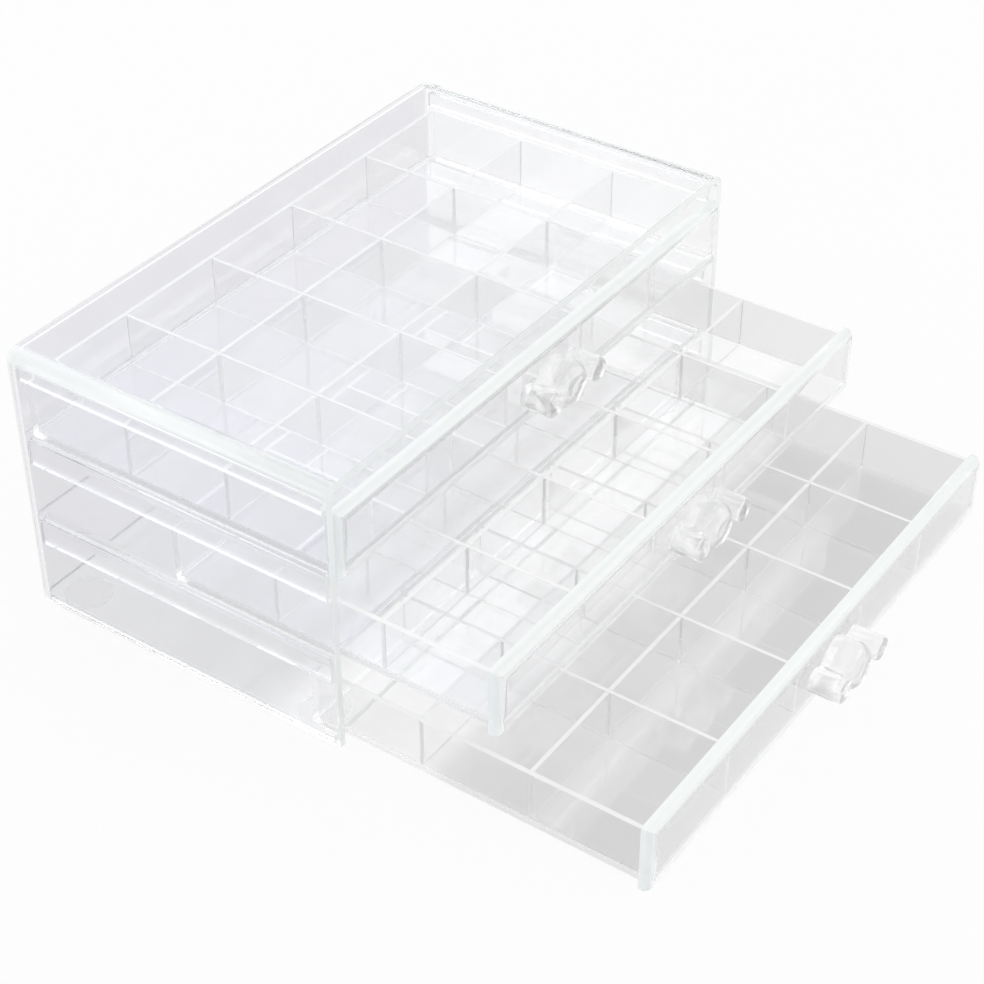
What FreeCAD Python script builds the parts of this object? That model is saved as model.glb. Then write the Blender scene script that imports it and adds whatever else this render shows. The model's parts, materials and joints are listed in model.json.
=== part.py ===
import FreeCAD, Part
import math
import os

# Clear three-drawer organizer. Millimetres, +Z up, the drawers open towards -Y.
# The origin is on the surface that the feet stand on, under the middle of the case.

# ---- Compartments ----
columns = 5
rows = 3
cell_width = 43.2
cell_depth = 40.2
cell_height = 20.0
divider = 1.5

# ---- Drawers ----
tray_wall = 1.8
tray_floor = 2.0
panel_thickness = 5.0
panel_projection = 2.2
panel_overhang = 1.7
panel_edge_radius = 3.5

# ---- Case ----
wall = 3.0
edge_radius = 6.0
base_thickness = 2.5
shelf_thickness = 2.5
flange_thickness = 2.5
flange_height = 8.4
flange_bend_radius = 3.0
foot_height = 1.0
foot_diameter = 17.0
foot_side_inset = 9.5
foot_end_inset = 12.0

# ---- Knobs ----
knob_depth = 12.0
knob_dome_radius = 5.0
knob_centre_radius = 8.5
knob_lobe_radius = 4.4
knob_lobe_spacing = 26.4
knob_lobe_edge = 1.0
knob_neck_radius = 2.0
knob_neck_depth = 8.0

# ---- Clearances ----
tray_lift = 0.3
tray_side_gap = 1.7
tray_end_gap = 4.8
rim_gap = 1.0
panel_side_gap = 0.5
panel_back_gap = 0.5
panel_floor_gap = 0.2
slot_gap = 0.1
corner_gap = 0.5

# ---- How far each drawer stands open, from the bottom one up ----
drawers = (("bottom", 114.6), ("middle", 59.1), ("top", 0.0))

# ---- Heights, from the table up ----
base_top = foot_height + base_thickness
tray_bottom = base_top + tray_lift
floor_top = tray_bottom + tray_floor
rim = floor_top + cell_height
flange_bottom = rim + rim_gap
bay_top = flange_bottom + flange_height
bay_pitch = bay_top + shelf_thickness - base_top
ceiling = bay_top + (len(drawers) - 1) * bay_pitch
case_top = ceiling + wall
panel_bottom = foot_height + panel_floor_gap
panel_top = rim + panel_overhang

# ---- Widths, each measured from the middle to one side ----
column_step = cell_width + divider
tray_inner_half = (columns * column_step - divider) / 2
tray_half = tray_inner_half + tray_wall
inner_half = tray_half + tray_side_gap
case_half = inner_half + wall
panel_half = inner_half - panel_side_gap

# ---- Depths, from the front of a closed drawer back, with the case centred on the origin ----
row_step = cell_depth + divider
tray_depth = rows * row_step - divider + tray_wall
panel_inset = panel_thickness - panel_projection
case_back = (panel_inset + tray_depth + tray_end_gap + wall) / 2
case_front = -case_back
inner_back = case_back - wall
panel_front = case_front - panel_projection
panel_back = case_front + panel_inset
plate_front = panel_back + panel_back_gap
tray_back = panel_back + tray_depth
tray_inner_back = tray_back - tray_wall
inner_radius = edge_radius - wall
corner_start = inner_back - inner_radius


def block(x0, x1, y0, y1, z0, z1):
    """A box between two corners."""
    return Part.makeBox(x1 - x0, y1 - y0, z1 - z0, FreeCAD.Vector(x0, y0, z0))


def post(radius, depth, x):
    """A round bar that stands off a front panel towards -Y."""
    return Part.makeCylinder(radius, depth, FreeCAD.Vector(x, 0, 0), FreeCAD.Vector(0, -1, 0))


def near(value, target):
    return abs(value - target) < 1e-6


def edges_where(shape, test):
    """The edges of a shape whose ends all pass a test."""
    return [edge for edge in shape.Edges if all(test(vertex.Point) for vertex in edge.Vertexes)]


def round_case_edges(shape, half, back, top, radius):
    """Round the top edges along the sides and back, and the upright edges at the back."""
    def on_round_edge(edge):
        first, last = (vertex.Point for vertex in edge.Vertexes)
        on_top = near(first.z, top) and near(last.z, top)
        at_back = near(first.y, back) and near(last.y, back)
        at_side = near(first.x, last.x) and near(abs(first.x), half)
        return (on_top and (at_back or at_side)) or (at_back and at_side)
    return shape.makeFillet(radius, [edge for edge in shape.Edges if on_round_edge(edge)])


def case_shell():
    """Top, two sides and back in one moulding, open at the front and below."""
    outside = block(-case_half, case_half, case_front, case_back, foot_height, case_top)
    outside = round_case_edges(outside, case_half, case_back, case_top, edge_radius)
    inside = block(-inner_half, inner_half, case_front, inner_back, foot_height, ceiling)
    inside = round_case_edges(inside, inner_half, inner_back, ceiling, inner_radius)
    return outside.cut(inside)


def plate(bottom, thickness):
    """A flat plate that fills the case from side to side behind the closed front panels."""
    shape = block(-inner_half, inner_half, plate_front, inner_back, bottom, bottom + thickness)
    at_back = edges_where(shape, lambda point: near(point.y, inner_back))
    uprights = [edge for edge in at_back if near(edge.Vertexes[0].X, edge.Vertexes[1].X)]
    return shape.makeFillet(inner_radius + corner_gap, uprights)


def guide(side, bottom, top):
    """A strip along a side wall, just above the rim of a closed tray."""
    inner = side * (inner_half - flange_thickness)
    outer = side * inner_half
    return block(min(inner, outer), max(inner, outer), plate_front, corner_start, bottom, top)


def shelf(level):
    """The plate above the bay at a level, its flanges turned down with a rounded inside bend."""
    bottom = bay_top + level
    shape = plate(bottom, shelf_thickness)
    for side in (-1, 1):
        shape = shape.fuse(guide(side, flange_bottom + level, bottom))
    shape = shape.removeSplitter()
    bend_x = inner_half - flange_thickness
    bends = edges_where(shape, lambda point: near(abs(point.x), bend_x) and near(point.z, bottom))
    along = [edge for edge in bends if near(edge.Vertexes[0].X, edge.Vertexes[1].X)]
    return shape.makeFillet(flange_bend_radius, along)


def feet():
    """Four round pads under the corners of the base plate."""
    pads = []
    for x in (foot_side_inset - inner_half, inner_half - foot_side_inset):
        for y in (plate_front + foot_end_inset, inner_back - foot_end_inset):
            pads.append(Part.makeCylinder(foot_diameter / 2, foot_height, FreeCAD.Vector(x, y, 0)))
    return Part.makeCompound(pads)


def tray():
    """Floor, two sides and back of a drawer, open towards the front panel."""
    outside = block(-tray_half, tray_half, panel_back, tray_back, tray_bottom, rim)
    inside = block(-tray_inner_half, tray_inner_half, panel_back, tray_inner_back, floor_top, rim)
    return outside.cut(inside)


def front_panel():
    """A thick front with all four edges of its outer face rounded."""
    shape = block(-panel_half, panel_half, panel_front, panel_back, panel_bottom, panel_top)
    return shape.makeFillet(panel_edge_radius, edges_where(shape, lambda point: near(point.y, panel_front)))


def column_line(index):
    """The middle of a long divider, counted from 1 at the left."""
    return -tray_inner_half + index * column_step - divider / 2


def row_line(index):
    """The middle of a cross divider, counted from 1 at the front."""
    return panel_back + index * row_step - divider / 2


def long_divider(index):
    """A strip from the front panel to the back of the tray, slotted from below at each crossing."""
    x = column_line(index)
    shape = block(x - divider / 2, x + divider / 2, panel_back, tray_inner_back, floor_top, rim)
    slot_half = divider / 2 + slot_gap
    slot_top = floor_top + cell_height / 2 + slot_gap
    for row in range(1, rows):
        y = row_line(row)
        shape = shape.cut(block(x - divider, x + divider, y - slot_half, y + slot_half, floor_top, slot_top))
    return shape


def cross_divider(index):
    """A strip from side to side of the tray, slotted from above at each crossing."""
    y = row_line(index)
    shape = block(-tray_inner_half, tray_inner_half, y - divider / 2, y + divider / 2, floor_top, rim)
    slot_half = divider / 2 + slot_gap
    slot_bottom = floor_top + cell_height / 2 - slot_gap
    for column in range(1, columns):
        x = column_line(column)
        shape = shape.cut(block(x - slot_half, x + slot_half, y - divider, y + divider, slot_bottom, rim))
    return shape


def arc(start, middle, end):
    """An arc through three points of a knob's outline, each given as across and up."""
    points = [FreeCAD.Vector(across, 0, up) for across, up in (start, middle, end)]
    return Part.Arc(*points).toShape()


def knob_web():
    """The low body of a knob: a round centre and two lobes, joined by hollow-sided necks."""
    lobe = knob_lobe_spacing / 2
    to_centre = knob_centre_radius + knob_neck_radius
    to_lobe = knob_lobe_radius + knob_neck_radius
    neck_x = (to_centre ** 2 - to_lobe ** 2 + lobe ** 2) / (2 * lobe)
    neck_z = math.sqrt(to_centre ** 2 - neck_x ** 2)
    join_x = neck_x * knob_centre_radius / to_centre
    join_z = neck_z * knob_centre_radius / to_centre
    lobe_x = lobe + (neck_x - lobe) * knob_lobe_radius / to_lobe
    lobe_z = neck_z * knob_lobe_radius / to_lobe
    outline = []
    for up in (1, -1):
        ends = [(side * join_x, up * join_z) for side in (-1, 1)]
        outline.append(arc(ends[0], (0, up * knob_centre_radius), ends[1]))
        for side in (-1, 1):
            waist = (side * neck_x, up * (neck_z - knob_neck_radius))
            outline.append(arc((side * join_x, up * join_z), waist, (side * lobe_x, up * lobe_z)))
    for side in (-1, 1):
        tip = (side * (lobe + knob_lobe_radius), 0)
        outline.append(arc((side * lobe_x, lobe_z), tip, (side * lobe_x, -lobe_z)))
    wire = Part.Wire(Part.__sortEdges__(outline))
    return Part.Face(wire).extrude(FreeCAD.Vector(0, -knob_neck_depth, 0))


def front_rim(shape):
    """The round edge at the free end of a post."""
    return edges_where(shape, lambda point: near(point.y, -knob_depth))


def knob():
    """A domed centre between two smaller round lobes, all standing off the panel."""
    centre = post(knob_centre_radius, knob_depth, 0)
    shape = knob_web().fuse(centre.makeFillet(knob_dome_radius, front_rim(centre)))
    for side in (-1, 1):
        lobe = post(knob_lobe_radius, knob_depth, side * knob_lobe_spacing / 2)
        shape = shape.fuse(lobe.makeFillet(knob_lobe_edge, front_rim(lobe)))
    shape = shape.removeSplitter()
    shape.translate(FreeCAD.Vector(0, panel_front, (panel_bottom + panel_top) / 2))
    return shape


def case_nodes():
    top_level = (len(drawers) - 1) * bay_pitch
    strip_bottom = flange_bottom + top_level
    strip_top = ceiling - inner_radius
    return {
        "case_shell": case_shell(),
        "base_plate": plate(foot_height, base_thickness),
        "lower_shelf": shelf(0),
        "upper_shelf": shelf(bay_pitch),
        "left_top_guide": guide(-1, strip_bottom, strip_top),
        "right_top_guide": guide(1, strip_bottom, strip_top),
        "corner_feet": feet(),
    }


def drawer_nodes(name, level, opened):
    """All pieces of one drawer, raised to its bay and pulled out."""
    nodes = {name + "_tray": tray(), name + "_front_panel": front_panel(), name + "_knob": knob()}
    for index in range(1, columns):
        nodes["%s_long_divider_%d" % (name, index)] = long_divider(index)
    for index in range(1, rows):
        nodes["%s_cross_divider_%d" % (name, index)] = cross_divider(index)
    for shape in nodes.values():
        shape.translate(FreeCAD.Vector(0, -opened, level))
    return nodes


all_nodes = case_nodes()
for number, (drawer, opening) in enumerate(drawers):
    all_nodes.update(drawer_nodes(drawer, number * bay_pitch, opening))

os.makedirs("parts", exist_ok=True)
for node, solid in all_nodes.items():
    solid.exportStep(os.path.join("parts", node + ".step"))
print("nodes", len(all_nodes), "case", round(2 * case_half, 3), round(2 * case_back, 3), round(case_top, 3))
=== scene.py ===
import json
import math

import bpy
from mathutils import Matrix, Vector


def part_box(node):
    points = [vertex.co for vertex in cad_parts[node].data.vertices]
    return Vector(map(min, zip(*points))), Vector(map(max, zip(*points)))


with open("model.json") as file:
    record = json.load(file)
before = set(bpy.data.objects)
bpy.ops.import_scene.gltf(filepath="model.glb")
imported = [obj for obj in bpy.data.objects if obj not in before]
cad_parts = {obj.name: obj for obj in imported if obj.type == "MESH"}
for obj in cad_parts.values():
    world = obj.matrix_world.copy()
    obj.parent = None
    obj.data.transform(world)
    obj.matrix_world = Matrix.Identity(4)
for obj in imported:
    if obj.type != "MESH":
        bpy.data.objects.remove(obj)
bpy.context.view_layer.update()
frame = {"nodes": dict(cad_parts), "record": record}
nodes = frame["nodes"]

X, Y, Z = 0, 1, 2


def grey(level):
    return (level, level, level, 1.0)


# ---- The camera: metres, degrees, and millimetres for the lens ----
CAMERA_TARGET = Vector((-0.030127, -0.067591, 0.051404))
CAMERA_DISTANCE = 0.750506
CAMERA_AZIMUTH = math.radians(-55.097)
CAMERA_ELEVATION = math.radians(37.574)
CAMERA_ROLL = math.radians(-0.08)
CAMERA_LENS = 81.144
SENSOR_WIDTH = 36.0
NEAREST_SEEN = 0.01

# ---- The studio that the clear faces show: a white backdrop behind the object, dim elsewhere ----
BACKDROP_EDGE = (-0.030, 0.868, -0.495)          # square to its upper edge, towards the white
BACKDROP_BLUR = 0.018
BACKDROP_RIGHT = (0.562, -0.827, 0.0)            # from its lavender side to its plain one
BACKDROP_SHADES = (-0.25, 0.12)                  # where along that direction the shade changes
BACKDROP_LAVENDER = (0.76, 0.78, 0.86, 1.0)
BACKDROP_PLAIN = grey(0.93)
DIM_STUDIO = grey(0.05)                          # above and in front of the object
STUDIO_HEIGHT = (0.20, 0.40)                     # lower directions are plain white
LOW_WHITE = grey(0.99)
FIRST_MIRROR = 1.5                               # what is mirrored again is plain white
NOT_SCATTERED = 0.5                              # by a pale surface, on a ray's way here

# ---- The light and the floor ----
SOFT_LIGHT = 0.77                                # even light from all round
SEEN_WHITE = 0.99
FLOOR_HALF = 3.0
FLOOR_PAPER = (grey(0.90), grey(0.93))
FLOOR_MOTTLE = dict(scale=3.0, detail=3.0, roughness=0.5)
FLOOR_WHITE_SEEN = 0.92                          # the rest of it takes the object's shadow
FLOOR_WHITE_MIRRORED = 0.8
LAMPS = (
    dict(name="back_softbox", centre=(1.35, 1.0, 1.08), size=(3.3, 1.36), radiance=0.5,
         aim=(0.0, -1.0, 0.0), left_colour=(0.80, 0.84, 0.95, 1.0)),
    dict(name="edge_softbox", centre=(-0.73, 0.62, 1.2), size=(1.9, 0.45), radiance=1.85,
         aim=(0.437, -0.444, -0.783), across=(0.836, 0.0, 0.549)),
    dict(name="front_softbox", centre=(0.8, -1.1, 0.9), size=(1.2, 0.8), radiance=1.4,
         aim=(-0.57, 0.71, -0.58)),
)
LAMP_SHADES = (0.25, 0.75)                       # where across a lamp its left colour ends

# ---- The edges of the pieces ----
JOIN_DISTANCE = 1e-6
AIR_GAP = 0.00002                                # taken off each face
EDGE_BREAK = 0.00025
EDGE_SEGMENTS = 2
SHARP_ANGLE = math.radians(40.0)

# ---- The clear plastic ----
ACRYLIC_IOR = 1.49
PLAIN_ROUGHNESS = 0.015
SMEARS = dict(scale=28.0, detail=4.0, roughness=0.6)
SMEAR_LEVELS = (0.45, 0.75)
SMEAR_ROUGHNESS = 0.05
SPECKS = dict(scale=900.0, detail=2.0, roughness=0.5)
SPECK_LEVELS = (0.66, 0.78)
SPECK_ROUGHNESS = 0.06
EDGE_ROUGHNESS = 0.4
RIPPLE = dict(scale=16.0, detail=2.0, roughness=0.4)
RIPPLE_STRENGTH = 0.03
RIPPLE_HEIGHT = 0.001
PALE_SHARE = 0.85                                # how opaque a pale edge is
BEND_PAINTED_HIGHLIGHT_SHARE = 0.75                                # of it on the case's long rounded edges, as a painted highlight
PALE_ROUGHNESS = 0.2
KNOB_HAZE = 0.25
PALE_WHITE = grey(0.97)
PALE_MINT = (0.95, 0.985, 0.975, 1.0)
PALE_BLUE = (0.88, 0.92, 0.935, 1.0)

# ---- How many faces a ray is followed through: Blender stops at 12 that bend it and 8 that do not ----
DEEPEST_BEND = 8.5                               # after these, no face bends it
MOST_CLEAR_FACES = 6.5                           # after these unbent ones, a face counts as bending it
LAST_BEND = 10.5                                 # after these as well, it ends on a painted glow in place of the studio's white
LAST_MIRROR = 1.5                                # mirrored more often, it goes straight on
KNOB_LAST_MIRROR = 2.5
UNBENT_IOR = 1.03
# painted light: the glow that a spent ray ends on, in place of the studio's white
DEEP_VIEW_PAINTED_GLOW = (0.90, 0.90, 0.91, 1.0)

# ---- How far a face looks along an axis, from not at all, 0, to straight along it, 1 ----
FACING = (0.6, 0.9)                              # a face that looks along the axis
LARGE_FACE = (0.80, 0.97)                        # a plate's large face, without its rounded edge
BENT = (0.1, 0.3)                                # part of a rounded edge

# ---- Places on the pieces at rest ----
SKIN = 0.0005                                    # a place this near an end lies on the end face
TRAY_FLOOR = 0.002                               # thickness
BACK_WALL = 0.06                                 # all of the case behind this y, which gets painted shade
RIGHT_PART = 0.03                                # all to the right of this x, where the middle tray's right wall gets painted shade
LEFT_TO_MIDDLE = (-0.10, 0.03)                   # x, across which the painted lavender light and painted shade change
BASE_CHANGE = (-0.045, -0.030)                   # y, from the front tint to the rear painted shade
BOTTOM_TRAY_CHANGE = (-0.106, -0.096)            # y, from the front painted shadow to the rear tint

# ---- What a plate lets through, and painted light and shade where it changes from place to place ----
# painted shade: the back wall's grey tint
BACK_WALL_PAINTED_SHADE = (0.76, 0.755, 0.78, 1.0)
CASE_PAINTED_LIGHT = ((0.973, 0.975, 0.982, 1.0), grey(0.95))           # left, then middle and right; painted light: a lavender cast on the left, greyer painted shade to the right
# painted light in these too: a lavender cast on the left side of each
SHELF_PAINTED_LIGHT = ((0.967, 0.97, 0.98, 1.0), grey(0.96))
TOP_TRAY_PAINTED_LIGHT = ((0.975, 0.977, 0.987, 1.0), grey(0.97))
MIDDLE_TRAY_PAINTED_LIGHT = ((0.978, 0.982, 0.992, 1.0), grey(0.985))
# painted shade on the middle tray's right wall
MIDDLE_TRAY_RIGHT_PAINTED_SHADE = grey(0.85)
# painted shade: the bottom tray's side walls, greyer on the right
BOTTOM_TRAY_SIDES_PAINTED_SHADE = (grey(0.92), grey(0.80))
BOTTOM_TRAY_ENDS = grey(0.97)
BOTTOM_TRAY_FLOOR_PAINTED_SHADOW = (grey(0.80), grey(0.99))                    # front, a painted shadow, then rear
BASE_TINTS_AND_PAINTED_SHADE = (grey(0.99), grey(0.80))                           # front, then rear, whose grey is painted shade under the case
DIVIDER_TINT = grey(0.97)
PANEL_TINT = grey(0.985)
KNOB_TINT = grey(0.99)
FOOT_TINT = grey(0.95)


# ---------------------------------------------------------------- node helpers
def new_material(name):
    material = bpy.data.materials.new(name)
    material.use_nodes = True
    material.node_tree.nodes.clear()
    return material


class Tree:
    """Short ways to add nodes to one material, lamp or world."""

    def __init__(self, owner):
        self.tree = owner.node_tree

    def add(self, kind, inputs=None, **settings):
        node = self.tree.nodes.new(kind)
        for key, value in settings.items():
            setattr(node, key, value)
        for key, value in (inputs or {}).items():
            self.put(node.inputs[key], value)
        return node

    def put(self, socket, value):
        if isinstance(value, bpy.types.NodeSocket):
            self.tree.links.new(value, socket)
        else:
            socket.default_value = value

    def math(self, operation, first, second):
        return self.add("ShaderNodeMath", {0: first, 1: second}, operation=operation).outputs[0]

    def times(self, first, second):
        return self.math("MULTIPLY", first, second)

    def plus(self, first, second):
        return self.math("ADD", first, second)

    def either(self, first, second):
        return self.math("MAXIMUM", first, second)

    def above(self, value, limit):
        return self.math("GREATER_THAN", value, limit)

    def below(self, value, limit):
        return self.math("LESS_THAN", value, limit)

    def rest_of(self, share):
        return self.math("SUBTRACT", 1.0, share)

    def part(self, vector, axis):
        return self.add("ShaderNodeSeparateXYZ", {0: vector}).outputs[axis]

    def along(self, vector, direction):
        node = self.add("ShaderNodeVectorMath", {0: vector, 1: direction}, operation="DOT_PRODUCT")
        return node.outputs["Value"]

    def mix_shader(self, factor, first, second):
        return self.add("ShaderNodeMixShader", {0: factor, 1: first, 2: second}).outputs[0]

    def mix_colour(self, factor, first, second):
        node = self.add("ShaderNodeMix", data_type="RGBA")
        self.put(node.inputs[0], factor)
        self.put(node.inputs[6], first)
        self.put(node.inputs[7], second)
        return node.outputs[2]

    def ramp(self, value, low, high):
        """0 below low, 1 above high."""
        return self.add("ShaderNodeMapRange", {0: value, 1: low, 2: high, 3: 0.0, 4: 1.0}).outputs[0]

    def noise(self, scale, detail, roughness):
        where = self.add("ShaderNodeTexCoord").outputs["Object"]
        inputs = {"Vector": where, "Scale": scale, "Detail": detail, "Roughness": roughness}
        return self.add("ShaderNodeTexNoise", inputs).outputs["Fac"]

    def glow(self, colour):
        """A colour that is seen as it is written."""
        return self.add("ShaderNodeEmission", {"Color": colour, "Strength": 1.0}).outputs[0]


def settled(value, tree):
    """The value itself where it is the same all over, or what its function makes from nodes."""
    return value(tree) if callable(value) else value


# ---------------------------------------------------------------- masks and tints of a plate
def share_along(tree, axis):
    """How far a face looks along the axis, either way."""
    normal = tree.add("ShaderNodeNewGeometry").outputs["True Normal"]
    return tree.add("ShaderNodeMath", {0: tree.part(normal, axis)}, operation="ABSOLUTE").outputs[0]


def facing(tree, axis):
    return tree.ramp(share_along(tree, axis), *FACING)


def place(tree, axis):
    """A place on the piece at rest, which stays with the piece as it moves."""
    return tree.part(tree.add("ShaderNodeTexCoord").outputs["Object"], axis)


def pale_part(tree, mask):
    """How opaque the masked faces are."""
    return tree.times(mask, PALE_SHARE)


def end_faces(tree):
    return pale_part(tree, facing(tree, Y))


def bends(tree):
    """1 on long rounded edges, between a side face and a level face."""
    return tree.times(tree.ramp(share_along(tree, X), *BENT), tree.ramp(share_along(tree, Z), *BENT))


def case_edges(tree):
    """The cut edge round the case's open front, and its long rounded edges, which are pale as a painted
    highlight.
    """
    mouth_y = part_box("case_shell")[0][Y] + SKIN
    mouth = tree.times(facing(tree, Y), tree.below(place(tree, Y), mouth_y))
    return pale_part(tree, tree.either(mouth, tree.times(bends(tree), BEND_PAINTED_HIGHLIGHT_SHARE)))


def all_but(axis):
    """All of a plate but its two large faces, which look along the axis."""
    def mask(tree):
        return pale_part(tree, tree.rest_of(tree.ramp(share_along(tree, axis), *LARGE_FACE)))
    return mask


def panel_edge_colour(tree):
    """Mint on the level edges, bluer on the upright ones."""
    return tree.mix_colour(facing(tree, X), PALE_MINT, PALE_BLUE)


def tray_rim(tray):
    """The level edge along the top of a tray's walls."""
    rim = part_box(tray)[1][Z] - SKIN

    def mask(tree):
        return pale_part(tree, tree.times(facing(tree, Z), tree.above(place(tree, Z), rim)))
    return mask


def tray_foot(tray):
    """The edge of a tray's floor, along its foot."""
    floor_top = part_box(tray)[0][Z] + TRAY_FLOOR

    def mask(tree):
        return tree.times(tree.rest_of(facing(tree, Z)), tree.below(place(tree, Z), floor_top))
    return mask


def painted_light_left_to_right(left, right):
    """A tint that changes from the object's left side to its middle; the change is painted light, a
    lavender cast or a greyer shade on one side.
    """
    def tint(tree):
        return tree.mix_colour(tree.ramp(place(tree, X), *LEFT_TO_MIDDLE), left, right)
    return tint


def case_tint_and_painted_light(tree):
    """The back wall is greyer than the top and the sides, as painted shade, and the rest changes from left
    to right as painted light.
    """
    back = tree.times(facing(tree, Y), tree.above(place(tree, Y), BACK_WALL))
    return tree.mix_colour(back, painted_light_left_to_right(*CASE_PAINTED_LIGHT)(tree), BACK_WALL_PAINTED_SHADE)


def base_painted_shade(tree):
    """Greyer towards the back, as painted shade under the case."""
    return tree.mix_colour(tree.ramp(place(tree, Y), *BASE_CHANGE), *BASE_TINTS_AND_PAINTED_SHADE)


def bottom_tray_painted_shade(tree):
    """The front part of the floor is greyest, as a painted shadow, and so is the right wall, as painted
    shade.
    """
    floor = tree.mix_colour(tree.ramp(place(tree, Y), *BOTTOM_TRAY_CHANGE), *BOTTOM_TRAY_FLOOR_PAINTED_SHADOW)
    sides = painted_light_left_to_right(*BOTTOM_TRAY_SIDES_PAINTED_SHADE)(tree)
    walls = tree.mix_colour(facing(tree, X), BOTTOM_TRAY_ENDS, sides)
    return tree.mix_colour(facing(tree, Z), walls, floor)


def middle_tray_painted_light(tree):
    """The right wall is greyer than the rest, as painted shade."""
    right_wall = tree.times(facing(tree, X), tree.above(place(tree, X), RIGHT_PART))
    return tree.mix_colour(right_wall, painted_light_left_to_right(*MIDDLE_TRAY_PAINTED_LIGHT)(tree), MIDDLE_TRAY_RIGHT_PAINTED_SHADE)


# ---------------------------------------------------------------- clear plastic
def surface_detail(tree):
    """Faint smears and specks in the roughness, and a shallow moulded ripple."""
    smears = tree.ramp(tree.noise(**SMEARS), *SMEAR_LEVELS)
    specks = tree.ramp(tree.noise(**SPECKS), *SPECK_LEVELS)
    roughness = tree.plus(tree.times(smears, SMEAR_ROUGHNESS), PLAIN_ROUGHNESS)
    roughness = tree.plus(roughness, tree.times(specks, SPECK_ROUGHNESS))
    bump = tree.add("ShaderNodeBump", {
        "Strength": RIPPLE_STRENGTH, "Distance": RIPPLE_HEIGHT, "Height": tree.noise(**RIPPLE)})
    return roughness, bump.outputs[0]


def one_face(tree, tint):
    """What one of a plate's two faces lets through: the root of the tint, as in the Principled shader."""
    if isinstance(tint, bpy.types.NodeSocket):
        return tree.add("ShaderNodeGamma", {"Color": tint, "Gamma": 0.5}).outputs[0]
    return tuple(math.sqrt(part) for part in tint)


def straight_on(tree, shader, tint, last_mirror):
    """Lamp light, and rays that have already met many faces, pass straight through clear plastic.

    A ray that has met as many faces as it may ends on a painted glow of pale white there, in place of the
    studio's white, and not black.
    """
    path = tree.add("ShaderNodeLightPath").outputs
    tint = one_face(tree, tint)
    through = tree.add("ShaderNodeBsdfTransparent", {"Color": tint}).outputs[0]
    unbent = tree.add("ShaderNodeBsdfRefraction", {
        "Color": tint, "Roughness": 0.0, "IOR": UNBENT_IOR}).outputs[0]
    worn_out = tree.above(path["Transparent Depth"], MOST_CLEAR_FACES)
    spent = tree.times(worn_out, tree.above(path["Ray Depth"], LAST_BEND))
    pass_on = tree.mix_shader(worn_out, through, unbent)
    pass_on = tree.mix_shader(spent, pass_on, tree.glow(DEEP_VIEW_PAINTED_GLOW))
    deep = tree.above(path["Ray Depth"], DEEPEST_BEND)
    echo = tree.above(path["Glossy Depth"], last_mirror)
    shader = tree.mix_shader(tree.either(deep, echo), shader, pass_on)
    return tree.mix_shader(path["Is Shadow Ray"], shader, through)


def clear_acrylic(name, tint, pale_edges=None, pale=PALE_WHITE, rough_edges=None, last_mirror=LAST_MIRROR):
    """Clear plastic that bends what is seen through it, duller or paler on its edges."""
    material = new_material(name)
    tree = Tree(material)
    tint = settled(tint, tree)
    roughness, bump = surface_detail(tree)
    if rough_edges:
        roughness = tree.plus(roughness, tree.times(rough_edges(tree), EDGE_ROUGHNESS))
    shader = tree.add("ShaderNodeBsdfPrincipled", {
        "Base Color": tint, "Roughness": roughness, "Normal": bump, "IOR": ACRYLIC_IOR,
        "Transmission Weight": 1.0}).outputs[0]
    if pale_edges:
        cloudy = tree.add("ShaderNodeBsdfPrincipled", {
            "Base Color": settled(pale, tree), "Roughness": PALE_ROUGHNESS, "Normal": bump,
            "IOR": ACRYLIC_IOR}).outputs[0]
        shader = tree.mix_shader(settled(pale_edges, tree), shader, cloudy)
    tree.add("ShaderNodeOutputMaterial", {"Surface": straight_on(tree, shader, tint, last_mirror)})
    return material


def make_slot_materials():
    """The finish of each material slot of the record."""
    return {
        "clear_case": clear_acrylic("clear_case", case_tint_and_painted_light, case_edges, PALE_MINT),
        "clear_shelf": clear_acrylic("clear_shelf", painted_light_left_to_right(*SHELF_PAINTED_LIGHT), end_faces),
        "clear_front": clear_acrylic("clear_front", PANEL_TINT, all_but(Y), panel_edge_colour),
        "clear_knob": clear_acrylic("clear_knob", KNOB_TINT, KNOB_HAZE, last_mirror=KNOB_LAST_MIRROR),
        "clear_foot": clear_acrylic("clear_foot", FOOT_TINT),
    }


def make_piece_materials():
    """The finishes of pieces that differ from their slot, by a part of the piece's name. The trays' and
    the base plate's tints carry painted light and shade.
    """
    materials = {
        "long_divider": clear_acrylic("clear_long_divider", DIVIDER_TINT, all_but(X)),
        "cross_divider": clear_acrylic("clear_cross_divider", DIVIDER_TINT, all_but(Y)),
        "base_plate": clear_acrylic("clear_base", base_painted_shade, end_faces, PALE_MINT),
    }
    tray_tints_and_painted_light = {
        "bottom_tray": bottom_tray_painted_shade,
        "middle_tray": middle_tray_painted_light,
        "top_tray": painted_light_left_to_right(*TOP_TRAY_PAINTED_LIGHT),
    }
    for tray, tint in tray_tints_and_painted_light.items():
        materials[tray] = clear_acrylic("clear_" + tray, tint, tray_rim(tray), rough_edges=tray_foot(tray))
    return materials


# ---------------------------------------------------------------- pieces
def ease_edges(item):
    """Break the sharp edges a little, and leave a hair of air where pieces touch."""
    weld = item.modifiers.new("join_faces", "WELD")
    weld.merge_threshold = JOIN_DISTANCE
    shrink = item.modifiers.new("air_gap", "DISPLACE")
    shrink.mid_level = 0.0
    shrink.strength = -AIR_GAP
    bevel = item.modifiers.new("eased_edges", "BEVEL")
    bevel.width = EDGE_BREAK
    bevel.segments = EDGE_SEGMENTS
    bevel.limit_method = "ANGLE"
    bevel.angle_limit = SHARP_ANGLE
    bevel.use_clamp_overlap = True


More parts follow.
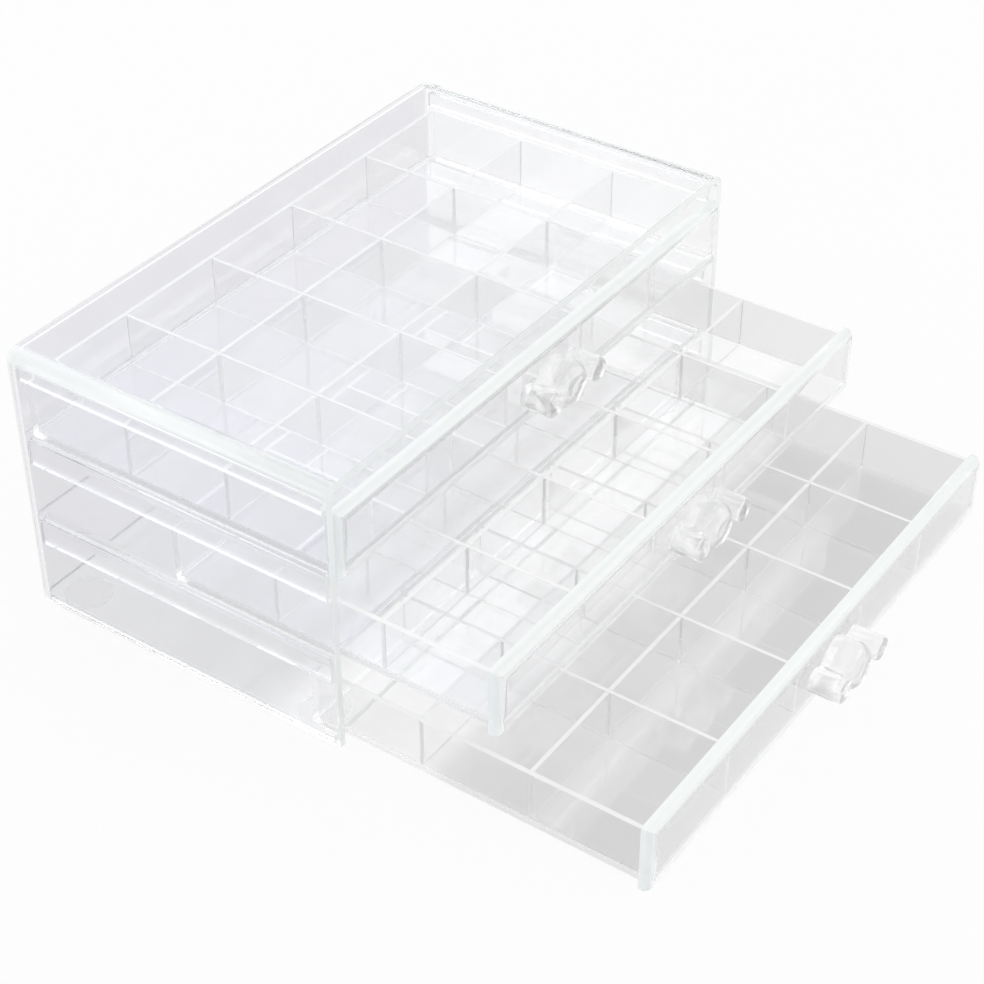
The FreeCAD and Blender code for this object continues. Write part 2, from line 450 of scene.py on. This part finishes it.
def finish_pieces():
    slot_materials = make_slot_materials()
    piece_materials = make_piece_materials()
    slot_of = {entry["node"]: entry["material_slot"] for entry in frame["record"]["subparts"]}
    for name, item in nodes.items():
        own = [material for part, material in piece_materials.items() if part in name]
        item.data.materials.clear()
        item.data.materials.append(own[0] if own else slot_materials[slot_of[name]])
        ease_edges(item)


# ---------------------------------------------------------------- stage
def make_floor():
    """Plain white paper, which keeps a little of the object's shadow."""
    mesh = bpy.data.meshes.new("studio_floor")
    half = FLOOR_HALF
    corners = [(-half, -half, 0), (half, -half, 0), (half, half, 0), (-half, half, 0)]
    mesh.from_pydata(corners, [], [(0, 1, 2, 3)])
    floor = bpy.data.objects.new("studio_floor", mesh)
    bpy.context.collection.objects.link(floor)
    material = new_material("studio_floor")
    tree = Tree(material)
    path = tree.add("ShaderNodeLightPath").outputs
    mirrored = tree.either(path["Is Glossy Ray"], path["Is Transmission Ray"])
    white = tree.plus(tree.times(mirrored, FLOOR_WHITE_MIRRORED),
                      tree.times(path["Is Camera Ray"], FLOOR_WHITE_SEEN))
    mottle = tree.mix_colour(tree.noise(**FLOOR_MOTTLE), *FLOOR_PAPER)
    paper = tree.add("ShaderNodeBsdfDiffuse", {"Color": mottle}).outputs[0]
    surface = tree.mix_shader(white, paper, tree.glow(grey(SEEN_WHITE)))
    tree.add("ShaderNodeOutputMaterial", {"Surface": surface})
    mesh.materials.append(material)


def make_world():
    """A white backdrop rises behind the object; the studio above and in front of it is dim.

    Only the clear faces show it. The camera sees white, and pale surfaces get the even soft light.
    """
    world = bpy.data.worlds.new("studio")
    bpy.context.scene.world = world
    world.use_nodes = True
    world.node_tree.nodes.clear()
    tree = Tree(world)
    path = tree.add("ShaderNodeLightPath").outputs
    direction = tree.add("ShaderNodeTexCoord").outputs["Generated"]
    backdrop = tree.ramp(tree.along(direction, BACKDROP_EDGE), -BACKDROP_BLUR, BACKDROP_BLUR)
    shade = tree.ramp(tree.along(direction, BACKDROP_RIGHT), *BACKDROP_SHADES)
    paper = tree.mix_colour(shade, BACKDROP_LAVENDER, BACKDROP_PLAIN)
    studio = tree.mix_colour(backdrop, DIM_STUDIO, paper)
    high = tree.ramp(tree.part(direction, Z), *STUDIO_HEIGHT)
    shown = tree.times(high, tree.below(path["Glossy Depth"], FIRST_MIRROR))
    studio = tree.mix_colour(shown, LOW_WHITE, studio)
    clear = tree.either(path["Is Glossy Ray"], path["Is Transmission Ray"])
    clear = tree.times(clear, tree.below(path["Diffuse Depth"], NOT_SCATTERED))
    soft = tree.add("ShaderNodeBackground", {"Color": grey(1.0), "Strength": SOFT_LIGHT})
    white = tree.add("ShaderNodeBackground", {"Color": grey(1.0), "Strength": SEEN_WHITE})
    mirrored = tree.add("ShaderNodeBackground", {"Color": studio, "Strength": 1.0})
    surface = tree.mix_shader(clear, soft.outputs[0], mirrored.outputs[0])
    surface = tree.mix_shader(path["Is Camera Ray"], surface, white.outputs[0])
    tree.add("ShaderNodeOutputWorld", {"Surface": surface})


def make_lamp(name, centre, size, radiance, aim, left_colour=None, across=None):
    """A soft box; radiance 1 is as bright as white paper, and across is its long direction."""
    lamp = bpy.data.lights.new(name, "AREA")
    lamp.shape = "RECTANGLE"
    lamp.size, lamp.size_y = size
    lamp.energy = radiance * math.pi * size[0] * size[1]
    if left_colour:
        lamp.use_nodes = True
        lamp.node_tree.nodes.clear()
        tree = Tree(lamp)
        sideways = tree.part(tree.add("ShaderNodeNewGeometry").outputs["Parametric"], X)
        colour = tree.mix_colour(tree.ramp(sideways, *LAMP_SHADES), left_colour, grey(1.0))
        tree.add("ShaderNodeOutputLight", {"Surface": tree.glow(colour)})
    item = bpy.data.objects.new(name, lamp)
    bpy.context.collection.objects.link(item)
    back = -Vector(aim).normalized()
    right = Vector(across) if across else Vector((0.0, 0.0, 1.0)).cross(back)
    up = back.cross(right).normalized()
    turn = Matrix((up.cross(back), up, back)).transposed().to_4x4()
    item.matrix_world = Matrix.Translation(centre) @ turn
    item.visible_camera = False


def make_camera():
    back = Vector((
        math.sin(CAMERA_AZIMUTH) * math.cos(CAMERA_ELEVATION),
        -math.cos(CAMERA_AZIMUTH) * math.cos(CAMERA_ELEVATION),
        math.sin(CAMERA_ELEVATION)))
    right = Vector((math.cos(CAMERA_AZIMUTH), math.sin(CAMERA_AZIMUTH), 0.0))
    up = back.cross(right)
    rolled_right = math.cos(CAMERA_ROLL) * right + math.sin(CAMERA_ROLL) * up
    rolled_up = math.cos(CAMERA_ROLL) * up - math.sin(CAMERA_ROLL) * right
    camera = bpy.data.objects.new("camera", bpy.data.cameras.new("camera"))
    bpy.context.collection.objects.link(camera)
    turn = Matrix((rolled_right, rolled_up, back)).transposed().to_4x4()
    camera.matrix_world = Matrix.Translation(CAMERA_TARGET + CAMERA_DISTANCE * back) @ turn
    camera.data.lens = CAMERA_LENS
    camera.data.sensor_width = SENSOR_WIDTH
    camera.data.clip_start = NEAREST_SEEN
    bpy.context.scene.camera = camera


finish_pieces()
make_floor()
make_world()
make_camera()
for lamp_facts in LAMPS:
    make_lamp(**lamp_facts)
bpy.context.scene.view_settings.view_transform = "Standard"
